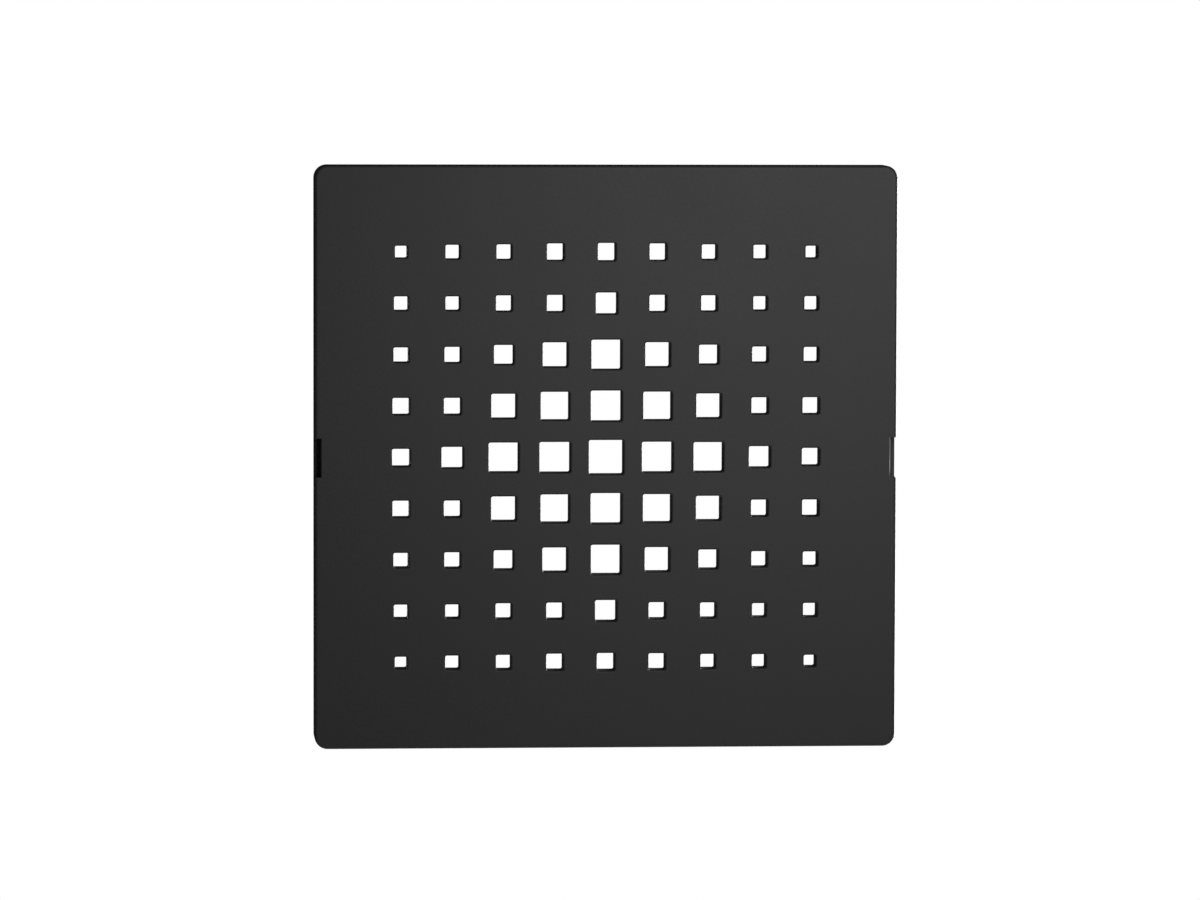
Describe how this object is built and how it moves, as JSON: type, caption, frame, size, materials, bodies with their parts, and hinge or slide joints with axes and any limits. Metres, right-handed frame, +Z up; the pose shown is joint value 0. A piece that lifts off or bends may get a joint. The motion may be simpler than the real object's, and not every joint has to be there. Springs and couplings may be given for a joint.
{
  "type": "wifi node cover plate",
  "caption": "Square perforated clip-on cover plate with a grid of square holes, on a carrier frame with retaining springs and a steel support ring, for a flush in-wall wifi node.",
  "frame": {"origin": "middle of the four wall screws, on the wall plane", "axes": "+Z up, -Y out of the wall towards the front, +X to the right seen from the front"},
  "size_m": [0.0624, 0.01, 0.0624],
  "materials": {
    "cover_black": "matt black moulding with a fine spark-eroded grain",
    "frame_grey": "dark grey glass-filled moulding, satin",
    "ring_steel": "galvanised sheet steel",
    "gasket_foam": "closed-cell foam, matt",
    "spring_steel": "bright rolled stainless strip",
    "screw_steel": "zinc-plated steel"
  },
  "bodies": {
    "frame": {"carrier_frame": "frame_grey", "support_ring": "ring_steel", "wall_gasket": "gasket_foam", "retaining_spring_right": "spring_steel", "retaining_spring_top": "spring_steel", "retaining_spring_left": "spring_steel", "retaining_spring_bottom": "spring_steel", "ring_screw_bottom_left": "screw_steel", "ring_screw_top_left": "screw_steel", "ring_screw_bottom_right": "screw_steel", "ring_screw_top_right": "screw_steel"},
    "cover": {"cover_plate": "cover_black"}
  },
  "joints": [
    {"name": "cover_pull", "type": "slide", "parent": "frame", "child": "cover", "axis": [0, -1, 0], "range_m": [0, 0.012], "deforming": ["retaining_spring_right", "retaining_spring_top", "retaining_spring_left", "retaining_spring_bottom"]}
  ]
}
